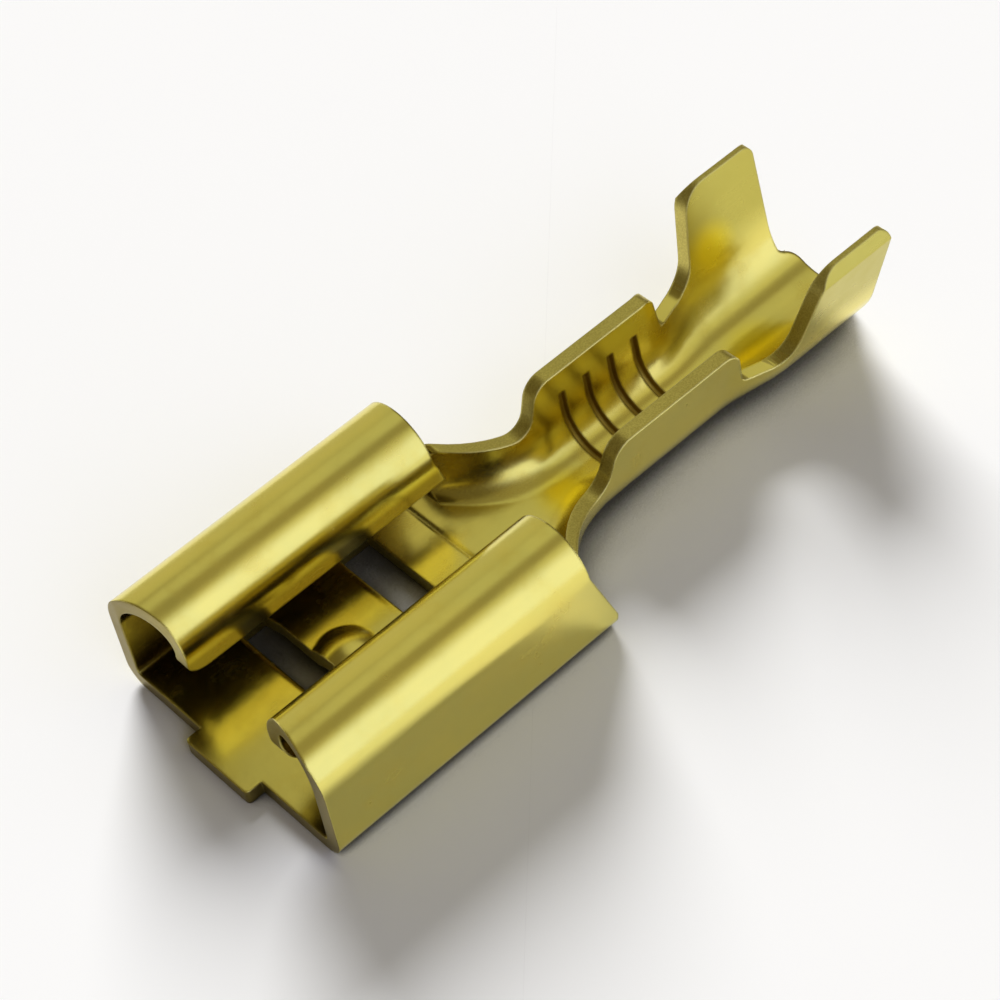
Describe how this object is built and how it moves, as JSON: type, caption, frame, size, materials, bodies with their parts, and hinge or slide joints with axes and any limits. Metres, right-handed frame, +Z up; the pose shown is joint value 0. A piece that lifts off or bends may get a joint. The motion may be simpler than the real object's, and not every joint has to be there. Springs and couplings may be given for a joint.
{
  "type": "female spade terminal",
  "caption": "Folded brass receptacle with rolled edges that grips a flat tab, joined by a narrow neck to an open serrated wire barrel and an open insulation barrel",
  "frame": {"origin": "middle of the length and of the width, on the underside of the floor", "axes": "+X from the mouth of the receptacle to the wire end, +Y to the left seen from the mouth along +X, +Z up through the open side"},
  "size_m": [0.02, 0.0076, 0.0038],
  "materials": {
    "brass": "bright rolled strip, uncoated, with paler sheared edges"
  },
  "bodies": {
    "root": {"terminal": "brass"}
  },
  "joints": []
}
